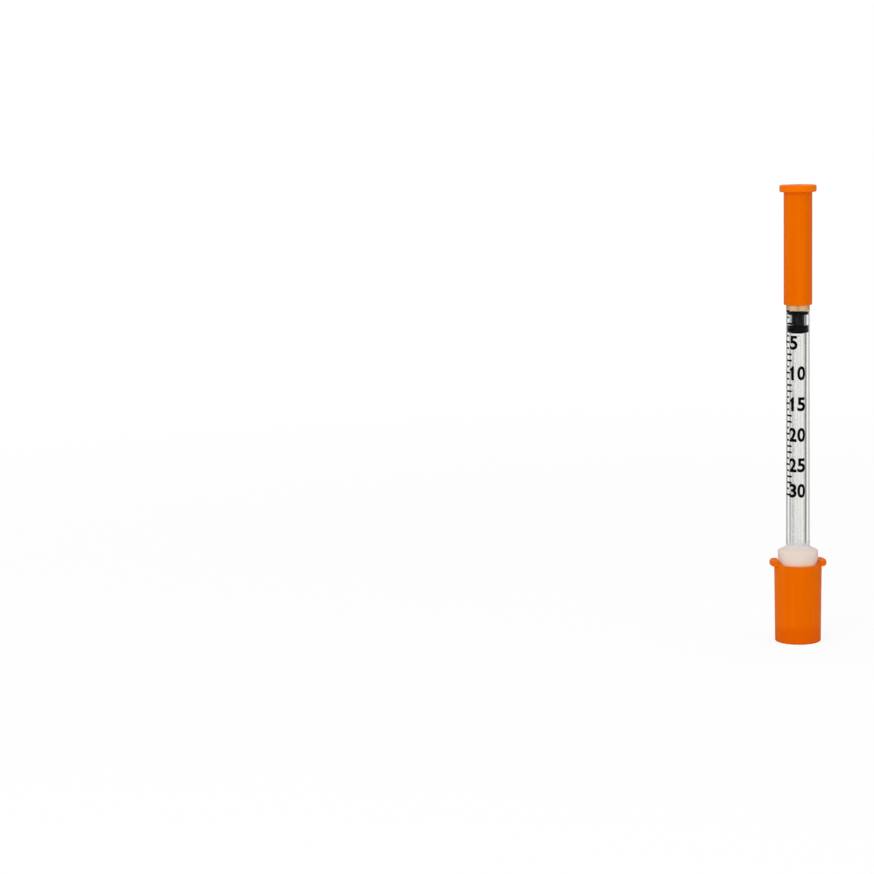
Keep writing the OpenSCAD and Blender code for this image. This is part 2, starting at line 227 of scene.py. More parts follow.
# A lamp's place is its share of the reach to the right, away from the camera and up
def soft_lamp(name, to_right, away, up, size, watts):
    lamp = bpy.data.lights.new(name, "AREA")
    lamp.shape, lamp.size, lamp.energy = "DISK", size, watts
    place = LAMP_REACH * (to_right * RIGHT + away * AWAY + up * UP)
    turn = (LAMP_AIM - place).to_track_quat("-Z", "Y").to_matrix().to_4x4()
    made = link(name, lamp)
    made.matrix_world = Matrix.Translation(place) @ turn
    made.visible_glossy = False
    made.visible_transmission = False
    print(name, "at", [round(c, 2) for c in place], watts, "W")


soft_lamp("key_lamp", -0.35, -0.8, 0.55, size=0.7, watts=2.8)
soft_lamp("fill_lamp", 0.75, -0.6, 0.3, size=0.7, watts=0.9)
soft_lamp("top_lamp", 0, 0, 1, size=0.6, watts=2.4)

# %% [markdown]
# The floor is a plain white card that keeps the soft shadow under the cup. Towards its edge it
# turns into the background's pure white, so no horizon shows. Most of the light that the tube
# bends downwards ends on this card, close to the syringe. It would find white in every direction,
# and the bands would stop half way down the tube, so mirrored and bent light find the same room
# painted on the card, by the direction in which a point of the card lies from the syringe.

# %% Floor
FLOOR_HALF = 0.75
# From one distance to the other, in metres, and the share of pure white at both
CARD_WHITE = (0.08, 0.5, 0.86, 1.0)

floor_mesh = bpy.data.meshes.new("floor")
floor_corners = ((-1, -1), (1, -1), (1, 1), (-1, 1))
floor_mesh.from_pydata([(x * FLOOR_HALF, y * FLOOR_HALF, 0) for x, y in floor_corners],
                       [], [(0, 1, 2, 3)])
floor = link("floor", floor_mesh)

paper = bpy.data.materials.new("white_card")
tree = empty_tree(paper)
path = add(tree, "ShaderNodeLightPath").outputs
spot = add(tree, "ShaderNodeTexCoord").outputs["Object"]
distance = add(tree, "ShaderNodeVectorMath", (spot,), operation="LENGTH").outputs["Value"]
outwards = add(tree, "ShaderNodeVectorMath", (spot,), operation="NORMALIZE")
whiter = add(tree, "ShaderNodeMapRange", (distance, *CARD_WHITE), **SMOOTH)
white_share = add(tree, "ShaderNodeMath", (path["Is Camera Ray"], whiter), operation="MULTIPLY")
card = add(tree, "ShaderNodeBsdfDiffuse", {"Color": linear("F4F4F4")})
white = add(tree, "ShaderNodeEmission", {"Color": linear("FFFFFF"), "Strength": 1.0})
surface = add(tree, "ShaderNodeMixShader", (white_share, card, white))
for kind, room in (("Is Glossy Ray", room_mirrored), ("Is Transmission Ray", room_seen_through)):
    shown = add(tree, "ShaderNodeEmission",
                {"Color": linear("FFFFFF"), "Strength": room(tree, outwards)})
    surface = add(tree, "ShaderNodeMixShader", (path[kind], surface, shown))
add(tree, "ShaderNodeOutputMaterial", {"Surface": surface})
floor_mesh.materials.append(paper)
print("floor:", 2 * FLOOR_HALF, "m wide")

# %% [markdown]
# ## Materials
#
# Every material starts from what the real one is and how its surface was made. The patterns read
# the object's own coordinates, turned to millimetres, so that a size in the comment is a size on
# the part. Three things change from place to place: the tone of the colour, the sheen and the fine
# relief. Each follows a pattern, and a noise lies for the most part between 0.3 and 0.7.

# %% Material helpers
NOISE_LOW, NOISE_HIGH = 0.3, 0.7


def new_material(name, **settings):
    made = bpy.data.materials.new(name)
    tree = empty_tree(made)
    shader = add(tree, "ShaderNodeBsdfPrincipled",
                 {label.replace("_", " "): value for label, value in settings.items()})
    add(tree, "ShaderNodeOutputMaterial", {"Surface": shader})
    spot = add(tree, "ShaderNodeTexCoord").outputs["Object"]
    place = add(tree, "ShaderNodeVectorMath", {0: spot, "Scale": 1 / MM}, operation="SCALE")
    print("material:", name)
    return made, tree, shader, place


# The size of the grain is in millimetres, and the stretch draws it out along the syringe
def grain_pattern(tree, place, size, detail=3.0, stretch=1.0):
    drawn_out = add(tree, "ShaderNodeMapping", {"Vector": place, "Scale": (1, 1, 1 / stretch)})
    grain = {"Vector": drawn_out, "Scale": 1 / size, "Detail": detail}
    return add(tree, "ShaderNodeTexNoise", grain).outputs["Fac"]


# Tones are a pattern and two colours, the sheen is a pattern and its roughness at both ends, and
# the relief is a pattern and a depth in millimetres
def finish_skin(tree, shader, tones, sheen, relief=None):
    pattern, first, second = tones
    share = add(tree, "ShaderNodeMapRange", (pattern, NOISE_LOW, NOISE_HIGH))
    colour = add(tree, "ShaderNodeMix", {0: share, 6: linear(first), 7: linear(second)},
                 data_type="RGBA").outputs[2]
    tree.links.new(colour, shader.inputs["Base Color"])
    pattern, low, high = sheen
    rough = add(tree, "ShaderNodeMapRange", (pattern, NOISE_LOW, NOISE_HIGH, low, high))
    tree.links.new(rough.outputs[0], shader.inputs["Roughness"])
    if relief:
        pattern, depth = relief
        bumps = add(tree, "ShaderNodeBump", {"Height": pattern, "Distance": depth * MM})
        tree.links.new(bumps.outputs[0], shader.inputs["Normal"])
    return colour


# Going up, each colour takes over from the one below it between two heights in millimetres
def colours_by_height(tree, height, lowest, *zones):
    colour = linear(lowest)
    for start, end, above in zones:
        share = add(tree, "ShaderNodeMapRange", (height, start, end), **SMOOTH)
        above = linear(above) if isinstance(above, str) else above
        colour = add(tree, "ShaderNodeMix", {0: share, 6: colour, 7: above},
                     data_type="RGBA").outputs[2]
    return colour


# %% [markdown]
# The caps are orange polyethylene, injection moulded against a finely spark-eroded steel: a dense
# pigment, a satin skin, a little light in the depth of the wall, and faint streaks where the melt
# flowed up. The skin mirrors little, because a strong reflection would turn the edges of the caps
# pink. The wall lets some light through, and that light and shade are painted into the colour: a
# painted shade makes the cup a little darker at its foot, where the floor of the cup backs the
# wall, and a painted light makes the needle cap a little lighter at its solid end.

# %% Caps
# Heights in mm of the painted shade at the cup's foot and of the painted light at the needle cap's
# end
CUP_FOOT_PAINTED_SHADE, CAP_END_PAINTED_LIGHT = (2.8, 4.6), (99.2, 99.8)

orange, tree, shader, place = new_material(
    "orange_polyethylene_moulded",
    IOR=1.51,
    Specular_IOR_Level=0.08,
    Specular_Tint=linear("F08A2A"),
    Subsurface_Weight=0.3,
    Subsurface_Radius=(1.0, 0.3, 0.08),
    Subsurface_Scale=0.8 * MM,
)
streaks = grain_pattern(tree, place, 1.6, detail=2, stretch=30)
skin = finish_skin(
    tree, shader,
    tones=(streaks, "E96D00", "E36600"),
    sheen=(grain_pattern(tree, place, 0.5), 0.36, 0.48),
    relief=(grain_pattern(tree, place, 0.14, detail=2), 0.006),
)
height = add(tree, "ShaderNodeSeparateXYZ", (place,)).outputs["Z"]
# Painted shade: a darker orange at the cup's foot. Painted light: a lighter orange at the needle
# cap's end.
skin = colours_by_height(tree, height, "E16200", (*CUP_FOOT_PAINTED_SHADE, skin), (*CAP_END_PAINTED_LIGHT, "EF7304"))
tree.links.new(skin, shader.inputs["Base Color"])

# %% [markdown]
# The barrel is clarified polypropylene: glassy along the tube, with the faint haze that
# polypropylene always keeps, which here is light lost along its way through the wall. Its mirrored
# light is weakened, since the tube's inside would otherwise veil the black stopper. The bore was
# drawn off a long steel core, which leaves it a little rougher than the outside and evens out the
# bands.
#
# The finger flange and the hub come from a blasted part of the mould, so their skin is frosted, and
# the frost fades out over the lowest 2 mm of the tube. The orange light that the cup round the
# flange throws on it is painted into its colour as a warm tinge, strongest along its lowest
# millimetre, and the tube above it gets none. Seen from inside, a frosted skin still lets all light
# out, so the inner side of a face stays clear. The orange light that the needle cap throws into the
# end wall of the tube is painted there as well, as the colour of honey, while the hub is plain
# white.
#
# So the finish goes by zones, and these follow the sizes of the barrel in the CAD model. They are
# written down first, in millimetres, and the barrel is drawn from them further down.

# %% Sizes and zones of the barrel
SKIRT_Z, CEILING_Z, MOUTH_Z, FLANGE_Z, TUBE_Z = 16.4, 19.5, 19.8, 20.4, 21.3
BORE_END_Z, SHOULDER_Z, COLLAR_Z, WELL_Z, HUB_Z = 73.65, 74.85, 76.05, 79.65, 81.25
SKIRT_R, FLANGE_R, MOUTH_R, BORE_R, TUBE_R, TUBE_TIP_R = 3.98, 4.43, 1.835, 1.535, 2.6, 2.565
COLLAR_R, STEM_R, HUB_R, WELL_R, PASSAGE_R = 2.3, 1.55, 1.15, 0.65, 0.195
CHAMFER = 0.1325

BORE_SKIN_FADE = (1.6, 1.9)
FROST_FADE, MATT_FADE = (TUBE_Z, TUBE_Z + 1.9, 1.0, 0.0), (TUBE_Z, TUBE_Z + 1.5, 1.0, 0.0)
END_FADE, HUB_FADE = (BORE_END_Z - 0.1, BORE_END_Z + 0.15), (SHOULDER_Z - 0.05, SHOULDER_Z + 0.05)
# Heights of the painted orange light from the cup on the flange, warmest below the cup's rim, and
# of the tube's foot
PAINTED_CUP_LIGHT_FADE, PAINTED_RIM_LIGHT_FADE, TUBE_FOOT_FADE = (17.2, FLANGE_Z), (17.5, 18.6), (TUBE_Z - 0.2, TUBE_Z + 0.2)
print("barrel from", SKIRT_Z, "to", HUB_Z, "mm, bore", 2 * BORE_R, "mm wide")

# %% Barrel's plastic
OUTER_ROUGH, BORE_ROUGH, FROST_ROUGH = 0.015, 0.2, 0.4
FOOT_FROST, END_FROST = 0.82, 0.5

clear, tree, shader, place = new_material(
    "clear_polypropylene_moulded",
    IOR=1.49,
    Specular_Tint=linear("AEAEAE"),
)
height = add(tree, "ShaderNodeSeparateXYZ", (place,)).outputs["Z"]
across = add(tree, "ShaderNodeVectorMath", (place, (1, 1, 0)), operation="MULTIPLY")
off_axis = add(tree, "ShaderNodeVectorMath", (across,), operation="LENGTH").outputs["Value"]
outer_share = add(tree, "ShaderNodeMapRange", (off_axis, *BORE_SKIN_FADE), **SMOOTH)
frost_share, matt_share, end_share = (
    add(tree, "ShaderNodeMapRange", (height, *passage), **SMOOTH)
    for passage in (FROST_FADE, MATT_FADE, END_FADE)
)
foot_share = add(tree, "ShaderNodeMath", (frost_share, outer_share), operation="MULTIPLY")
matt_share = add(tree, "ShaderNodeMath", (matt_share, end_share), operation="MAXIMUM")

polished = (outer_share, 0.0, 1.0, BORE_ROUGH, OUTER_ROUGH)
polished = add(tree, "ShaderNodeMapRange", polished, **SMOOTH)
rough = add(tree, "ShaderNodeMix", {0: matt_share, 2: polished, 3: FROST_ROUGH}, data_type="FLOAT")
tree.links.new(rough.outputs[0], shader.inputs["Roughness"])

clearness = add(tree, "ShaderNodeMath", (foot_share, -FOOT_FROST, 1.0), operation="MULTIPLY_ADD")
clearness = add(tree, "ShaderNodeMath", (end_share, -END_FROST, clearness),
                operation="MULTIPLY_ADD")
inside = add(tree, "ShaderNodeNewGeometry").outputs["Backfacing"]
clearness = add(tree, "ShaderNodeMath", (inside, clearness), operation="MAXIMUM")
tree.links.new(clearness.outputs[0], shader.inputs["Transmission Weight"])

# %% Barrel's colours and haze
# Painted light: the end wall's honey colour stands for the orange light of the needle cap caught in
# it
tint = colours_by_height(tree, height, "FBFCFA", (*END_FADE, "DDB785"), (*HUB_FADE, "F4F5F4"))
# Painted light: the orange light of the cup painted on the frosted flange as a warm tinge
foot_with_painted_cup_light = colours_by_height(tree, height, "FBE8DD", (*PAINTED_CUP_LIGHT_FADE, "F2E2D6"))
foot_with_painted_cup_light = colours_by_height(tree, height, "FEE1C4", (*PAINTED_RIM_LIGHT_FADE, foot_with_painted_cup_light), (*TUBE_FOOT_FADE, "E6E6E5"))
tint = add(tree, "ShaderNodeMix", {0: foot_share, 6: tint, 7: foot_with_painted_cup_light}, data_type="RGBA").outputs[2]
tree.links.new(tint, shader.inputs["Base Color"])
haze = add(tree, "ShaderNodeVolumeAbsorption", {"Color": linear("C0C0BE"), "Density": 8.0})
output = next(node for node in tree.nodes if node.type == "OUTPUT_MATERIAL")
tree.links.new(haze.outputs[0], output.inputs["Volume"])
print("barrel's material:", len(tree.nodes), "nodes")

# %% [markdown]
# The plunger rod is natural polypropylene without pigment, thin enough to pass most light with a
# faint cloud. Lying in the bore it shows only as soft streaks, so its IOR is matched down from 1.49
# to 1.22, which bends light less.

# %% Plunger rod
cloudy_white, tree, shader, place = new_material(
    "natural_polypropylene_moulded",
    IOR=1.22,
    Transmission_Weight=0.98,
)
cloud = grain_pattern(tree, place, 0.8, detail=2, stretch=6)
finish_skin(
    tree, shader,
    tones=(cloud, "FFFFFF", "FAFAF9"),
    sheen=(grain_pattern(tree, place, 0.3), 0.1, 0.18),
    relief=(grain_pattern(tree, place, 0.2), 0.004),
)

# %% [markdown]
# The stopper is black synthetic rubber, matt in its grain. The film of silicone oil between it and
# the wall takes most of the reflection away, so it is deep black through the tube, with a trace of
# coat.

# %% Stopper's rubber
rubber, tree, shader, place = new_material(
    "black_rubber_siliconed",
    IOR=1.52,
    Specular_IOR_Level=0.12,
    Coat_Weight=0.03,
    Coat_Roughness=0.2,
)
grain = grain_pattern(tree, place, 0.09, detail=4)
finish_skin(tree, shader, (grain, "080808", "100F10"), (grain, 0.42, 0.58), (grain, 0.006))

# %% [markdown]
# The needle is a stainless steel tube, drawn, then coated with silicone oil: long drawing lines
# along it, and a satin look that is a little less metallic than bare steel. The lines are drawn
# 0.02 mm wide, several times too coarse, because finer ones would be lost in a needle 0.33 mm
# thick.

# %% Needle
steel, tree, shader, place = new_material("stainless_steel_drawn", Metallic=0.75)
lines = grain_pattern(tree, place, 0.02, detail=2, stretch=60)
finish_skin(tree, shader, (lines, "DCDEE0", "CBCED1"), (lines, 0.24, 0.36), (lines, 0.001))

# %% [markdown]
# The bead round the needle is clear adhesive cured by light: like thick varnish, with a yellow
# tinge.

# %% Adhesive
glue, tree, shader, place = new_material(
    "clear_adhesive_cured",
    IOR=1.51,
    Transmission_Weight=0.9,
)
specks = grain_pattern(tree, place, 0.25, detail=2)
finish_skin(tree, shader, (specks, "F6F1DC", "EFE9CF"), (specks, 0.05, 0.16))

# %% [markdown]
# The scale is black pad-printing ink, a few hundredths of a millimetre thick and drier at its
# edges.

# %% Printing ink
ink, tree, shader, place = new_material("black_printing_ink", IOR=1.5, Specular_IOR_Level=0.15)
dry = grain_pattern(tree, place, 0.12, detail=3)
finish_skin(tree, shader, (dry, "020202", "080808"), (dry, 0.4, 0.6))

# %% [markdown]
# The caps, the rod, the needle and the adhesive keep their CAD mesh, so each only takes its
# material in place of the plain one.

# %% Materials of the pieces that keep their CAD mesh
for node_name, material in (
    ("plunger_cap", orange), ("needle_cap", orange), ("plunger_rod", cloudy_white),
    ("needle", steel), ("needle_adhesive", glue),
):
    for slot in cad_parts[node_name].material_slots:
        slot.material = material
    print(node_name, "takes", material.name)

# %% [markdown]
# ## A lathe in Geometry Nodes
#
# The barrel and the stopper are bodies of revolution, and light that passes through clear plastic
# shows every facet. So both are turned again from their outline, with many more segments than a
# CAD mesh has. The outline is a list of corners with a radius each. A small function rounds them
# and adds a point just outside each rounding, which keeps the long faces' shading true. The tree
# then lays a grid over the outline and a full turn: the row of a grid point picks a point of the
# outline, and its column picks the angle.

# %% Outline with rounded corners
ARC_STEPS = 4
SUPPORT = 0.03
STRAIGHT = 0.01


def rounded(corners, closed):
    points = []
    last = len(corners) - 1
    for i, (r, z, radius) in enumerate(corners):
        here = Vector((r, z))
        if radius == 0 or (not closed and i in (0, last)):
            points.append(here)
            continue
        before = Vector(corners[i - 1][:2]) - here
        after = Vector(corners[(i + 1) % len(corners)][:2]) - here
        room = min(before.length, after.length) / 2
        before.normalize()
        after.normalize()
        half = before.angle(after) / 2
        sweep = math.pi - 2 * half
        reach = min(radius / math.tan(half), room - SUPPORT)
        middle = here + (before + after).normalized() * reach / math.cos(half)
        start, end = here + before * reach, here + after * reach
        points.append(start + before * SUPPORT)
        for step in range(ARC_STEPS + 1):
            share = step / ARC_STEPS
            arm = (start - middle).lerp(end - middle, share)
            if sweep > STRAIGHT:
                arm = ((start - middle) * math.sin((1 - share) * sweep)
                       + (end - middle) * math.sin(share * sweep)) / math.sin(sweep)
            points.append(middle + arm)
        points.append(end + after * SUPPORT)
    return points


# %% [markdown]
# Each tree names its sizes as inputs, and ends in Realize Instances and Set Material, because the
# export would drop instances. A turned body is smooth, apart from the edges that are sharper than a
# given angle.

# %% Beginning and end of a tree
def geometry_tree(name, **sockets):
    tree = bpy.data.node_groups.new(name, "GeometryNodeTree")
    tree.interface.new_socket("Geometry", in_out="INPUT", socket_type="NodeSocketGeometry")
    for label, kind in sockets.items():
        label = label.replace("_", " ")
        tree.interface.new_socket(label, in_out="INPUT", socket_type="NodeSocket" + kind)
    tree.interface.new_socket("Geometry", in_out="OUTPUT", socket_type="NodeSocketGeometry")
    return tree, {s.name: s for s in tree.nodes.new("NodeGroupInput").outputs if s.name}


def end_tree(tree, geometry, given):
    real = add(tree, "GeometryNodeRealizeInstances", (geometry,))
    painted = add(tree, "GeometryNodeSetMaterial",
                  {"Geometry": real, "Material": given["Material"]})
    add(tree, "NodeGroupOutput", (painted,))
    print("tree:", tree.name, len(tree.nodes), "nodes")


def smooth_but_for_edges(tree, geometry, given):
    angle = add(tree, "GeometryNodeInputMeshEdgeAngle").outputs["Unsigned Angle"]
    soft = add(tree, "ShaderNodeMath", (angle, given["Sharp angle"]), operation="LESS_THAN")
    smooth = add(tree, "GeometryNodeSetShadeSmooth", {"Geometry": geometry}, domain="FACE")
    return add(tree, "GeometryNodeSetShadeSmooth", {"Geometry": smooth, "Shade Smooth": soft},
               domain="EDGE")


# The angle of one step out of so many in a full turn
def angle_of_step(tree, step, steps):
    share = add(tree, "ShaderNodeMath", (step, steps), operation="DIVIDE")
    return add(tree, "ShaderNodeMath", (share, 2 * math.pi), operation="MULTIPLY")


# %% Lathe tree
MERGE = 0.5e-6

lathe, given = geometry_tree(
    "lathe", Segments="Int", Closed="Int", Sharp_angle="Float", Material="Material")
outline = given["Geometry"]
corner_count = add(lathe, "GeometryNodeAttributeDomainSize", (outline,),
                   component="MESH").outputs["Point Count"]
columns = add(lathe, "ShaderNodeMath", (given["Segments"], 1), operation="ADD")
rows = add(lathe, "ShaderNodeMath", (corner_count, given["Closed"]), operation="ADD")
grid = add(lathe, "GeometryNodeMeshGrid", {"Vertices X": rows, "Vertices Y": columns})

index = add(lathe, "GeometryNodeInputIndex")
column = add(lathe, "ShaderNodeMath", (index, columns), operation="FLOORED_MODULO")
row = add(lathe, "ShaderNodeMath", (index, 0.5), operation="ADD")
row = add(lathe, "ShaderNodeMath", (row, columns), operation="DIVIDE")
row = add(lathe, "ShaderNodeMath", (row,), operation="FLOOR")
row = add(lathe, "ShaderNodeMath", (row, corner_count), operation="FLOORED_MODULO")
position = add(lathe, "GeometryNodeInputPosition")
corner = add(lathe, "GeometryNodeSampleIndex",
             {"Geometry": outline, "Value": position, "Index": row}, data_type="FLOAT_VECTOR")
turned = add(lathe, "ShaderNodeVectorRotate",
             {"Vector": corner, "Angle": angle_of_step(lathe, column, given["Segments"])},
             rotation_type="Z_AXIS")
placed = add(lathe, "GeometryNodeSetPosition", {"Geometry": grid, "Position": turned})
merged = add(lathe, "GeometryNodeMergeByDistance", {"Geometry": placed, "Distance": MERGE})
end_tree(lathe, smooth_but_for_edges(lathe, merged, given), given)

# %% [markdown]
# ## Ribs in a ring
#
# The hub carries four fins that grip the needle cap. They are one shape repeated about the axis,
# so the tree puts a copy of it on each point of a ring and joins them to the body with a boolean.
# A plain overlap wouldn't do in clear plastic, where the hidden faces inside would be seen.

# %% Rib tree
ribbed, given = geometry_tree(
    "ribs_in_a_ring", Rib="Object", Count="Int", Sharp_angle="Float", Material="Material")
ring = add(ribbed, "GeometryNodeMeshLine", {"Count": given["Count"], "Offset": (0, 0, 0)})
index = add(ribbed, "GeometryNodeInputIndex")
turn = add(ribbed, "ShaderNodeCombineXYZ", {"Z": angle_of_step(ribbed, index, given["Count"])})
rib = add(ribbed, "GeometryNodeObjectInfo", {"Object": given["Rib"]}).outputs["Geometry"]
copies = add(ribbed, "GeometryNodeInstanceOnPoints",
             {"Points": ring, "Instance": rib, "Rotation": turn})
real = add(ribbed, "GeometryNodeRealizeInstances", (copies,))
joined = add(ribbed, "GeometryNodeMeshBoolean", operation="UNION", solver="EXACT")
for part in (given["Geometry"], real.outputs[0]):
    ribbed.links.new(part, joined.inputs[1])
end_tree(ribbed, smooth_but_for_edges(ribbed, joined, given), given)

# %% [markdown]
# A tree runs as a modifier on its starting mesh. Its result is kept as a plain mesh, which is all
# that the export needs, and the modifier goes. The faces of a finished piece have to point
# outwards, and it has to be closed, so both are seen to, and the volume shows that the piece isn't
# inside out.

# %% Run trees and keep the result as a plain mesh
def evaluated_mesh(made):
    bpy.context.view_layer.update()
    depsgraph = bpy.context.evaluated_depsgraph_get()
    return bpy.data.meshes.new_from_object(made.evaluated_get(depsgraph))


def keep_result(made):
    result, start = evaluated_mesh(made), made.data
    made.modifiers.clear()
    made.data = result
    bpy.data.meshes.remove(start)
    result.name = made.name


def grown(name, start, *steps):
    made = link(name, start)
    for tree, values in steps:
        modifier = made.modifiers.new(tree.name, "NODES")
        modifier.node_group = tree
        keys = {s.name: s.identifier for s in tree.interface.items_tree if s.in_out == "INPUT"}
        for label, value in values.items():
            modifier[keys[label]] = value
    keep_result(made)
    return made


def face_outwards(mesh):
    shape = bmesh.new()
    shape.from_mesh(mesh)
    bmesh.ops.recalc_face_normals(shape, faces=shape.faces)
    open_edges = sum(not edge.is_manifold for edge in shape.edges)
    volume = round(shape.calc_volume(signed=True) / MM**3, 2)
    shape.to_mesh(mesh)
    shape.free()
    print(mesh.name, len(mesh.polygons), "faces,", open_edges, "open edges,", volume, "mm3")


# %% A body turned from its corners
SEGMENTS = 160
SHARP = math.radians(32)


def turned_body(name, corners, material, closed, *more):
    points = rounded(corners, closed)
    count = len(points)
    edges = [(i, (i + 1) % count) for i in range(count if closed else count - 1)]
    outline = bpy.data.meshes.new(name + "_outline")
    outline.from_pydata([(r * MM, 0, z * MM) for r, z in points], edges, [])
    made = grown(name, outline, (lathe, {
        "Segments": SEGMENTS, "Closed": int(closed), "Sharp angle": SHARP, "Material": material,
    }), *more)
    face_outwards(made.data)
    return made


# %% [markdown]
# ## The barrel
#
# One moulding: skirt and finger flange, the tube with its bore, the end wall, and the hub with its
# collar, fins and glue well. Its outline never touches the axis, because the needle's passage goes
# right through, so the outline is a closed loop. Each corner is (radius, height, rounding) in
# millimetres, the same sizes as the CAD node that this piece stands for.

# %% One fin of the hub
FIN = dict(outer=2.16, inner=0.33, half=0.3, low=75.45, edge=78.84, high=79.45)

fin_plate = [
    (FIN["inner"], FIN["low"]), (FIN["outer"], FIN["low"]), (FIN["outer"], FIN["edge"]),
    (STEM_R, FIN["high"]), (FIN["inner"], FIN["high"]),
]
fin_mesh = bpy.data.meshes.new("fin")
count = len(fin_plate)
fin_mesh.from_pydata(
    [(r * MM, y * MM, z * MM) for y in (-FIN["half"], FIN["half"]) for r, z in fin_plate], [],
    [tuple(range(count)), tuple(reversed(range(count, 2 * count)))]
    + [((i + 1) % count, i, i + count, (i + 1) % count + count) for i in range(count)],
)
fin = link("fin", fin_mesh)
print("fin:", len(fin_mesh.polygons), "faces")

# %% Barrel
FIN_COUNT = 4

barrel = turned_body("barrel_moulding", [
    (SKIRT_R, SKIRT_Z, 0.06), (FLANGE_R, SKIRT_Z, 0.1), (FLANGE_R, FLANGE_Z, 0.08),
    (TUBE_R, TUBE_Z, 0.25), (TUBE_TIP_R, SHOULDER_Z, 0.08), (COLLAR_R, SHOULDER_Z, 0.04),
    (COLLAR_R, COLLAR_Z - CHAMFER, 0), (COLLAR_R - CHAMFER, COLLAR_Z, 0), (STEM_R, COLLAR_Z, 0),
    (HUB_R, HUB_Z - CHAMFER, 0), (HUB_R - CHAMFER, HUB_Z, 0), (WELL_R, HUB_Z, 0),
    (WELL_R, WELL_Z, 0), (PASSAGE_R, WELL_Z, 0), (PASSAGE_R, BORE_END_Z, 0),
    (BORE_R, BORE_END_Z, 0.05), (BORE_R, MOUTH_Z, 0.1), (MOUTH_R, CEILING_Z, 0.1),
    (SKIRT_R, CEILING_Z, 0.15),
], clear, True, (ribbed, {
    "Rib": fin, "Count": FIN_COUNT, "Sharp angle": SHARP, "Material": clear,
}))
bpy.data.objects.remove(fin)
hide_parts("barrel")
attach(barrel, "barrel")

# %% [markdown]
# ## The stopper
#
# Two sealing rings with a waist between them, and behind them the undercut pocket that the rod's
# head snaps into. Rubber that presses on clear plastic looks wider than it is, because the wall
# magnifies what touches it, while the waist, across a film of air, keeps its own width. So the
# rings are made to touch the bore here. The CAD rings keep the few hundredths of clearance that a
# rigid model needs.

# %% Stopper
STOPPER_Z, LOWER_RING_Z, UPPER_RING_Z, STOPPER_TOP = 68.7, 70.45, 72.73, 73.6
RING_R, WAIST_R = 1.54, 1.435
POCKET_Z, POCKET_SHOULDER_Z, POCKET_TOP_Z = 69.9, 70.3, 71.7
NECK_R, POCKET_R, POCKET_TIP_R = 0.55, 1.0, 0.45

stopper = turned_body("rubber_stopper", [
    (0, POCKET_TOP_Z, 0), (POCKET_TIP_R, POCKET_TOP_Z, 0.05), (POCKET_R, POCKET_SHOULDER_Z, 0.05),
    (POCKET_R, POCKET_Z, 0.05), (NECK_R, POCKET_Z, 0.05), (NECK_R, STOPPER_Z, 0.08),
    (RING_R, STOPPER_Z, 0.15), (RING_R, LOWER_RING_Z, 0.15), (WAIST_R, LOWER_RING_Z, 0.02),
    (WAIST_R, UPPER_RING_Z, 0.02), (RING_R, UPPER_RING_Z, 0.15), (RING_R, STOPPER_TOP, 0.15),
    (0, STOPPER_TOP, 0),
], rubber, False)
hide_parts("stopper")
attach(stopper, "stopper")

# %% [markdown]
# ## The printed scale
#
# Thirty units, one mark for each, 1.35 mm apart, with a long mark and a number at every fifth.
# The marks are printed flat on a plate and rolled on to the tube, so they are made the same way: a
# tree sets flat marks along a line, and a second one rolls any flat drawing round the tube and
# follows its taper. A Solidify modifier gives the ink its thickness.

# %% Tree for the marks
UNITS, UNIT_L, ZERO_Z = 30, 1.35, STOPPER_TOP
ROLL_R = 2.58
MARK_T, MARK_POINTS = 0.42, 9
# From and to, in degrees round the tube. Out of five marks the first is long, and the third and
# the fourth are middle ones.
LONG, MIDDLE, SHORT = (-52, -19), (-37, -6.5), (-37, -24)

marks, given = geometry_tree(
    "scale_marks", Count="Int", Spacing="Float", Start="Float", Thickness="Float",
    Material="Material")
start = add(marks, "ShaderNodeCombineXYZ", {"Z": given["Start"]})
step = add(marks, "ShaderNodeMath", (given["Spacing"], -1), operation="MULTIPLY")
step = add(marks, "ShaderNodeCombineXYZ", {"Z": step})
line = add(marks, "GeometryNodeMeshLine",
           {"Count": given["Count"], "Start Location": start, "Offset": step})
index = add(marks, "GeometryNodeInputIndex")
fifth = add(marks, "ShaderNodeMath", (index, 5), operation="FLOORED_MODULO")
is_long = add(marks, "ShaderNodeMath", (fifth, 0.5), operation="LESS_THAN")
is_middle = add(marks, "ShaderNodeMath", (fifth, 2.5, 0.6), operation="COMPARE")
is_short = add(marks, "ShaderNodeMath", (1, is_long), operation="SUBTRACT")
is_short = add(marks, "ShaderNodeMath", (is_short, is_middle), operation="SUBTRACT")

all_marks = add(marks, "GeometryNodeJoinGeometry")
for span, chosen in ((LONG, is_long), (MIDDLE, is_middle), (SHORT, is_short)):
    left, far = (math.radians(a) * ROLL_R * MM for a in span)
    flat = add(marks, "GeometryNodeMeshGrid", {
        "Size X": far - left, "Size Y": given["Thickness"],
        "Vertices X": MARK_POINTS, "Vertices Y": 2,
    })
    upright = add(marks, "GeometryNodeTransform", {
        "Geometry": flat, "Translation": ((left + far) / 2, 0, 0), "Rotation": (math.pi / 2, 0, 0),
    })
    copies = add(marks, "GeometryNodeInstanceOnPoints",
                 {"Points": line, "Selection": chosen, "Instance": upright})
    marks.links.new(copies.outputs[0], all_marks.inputs[0])
end_tree(marks, all_marks, given)

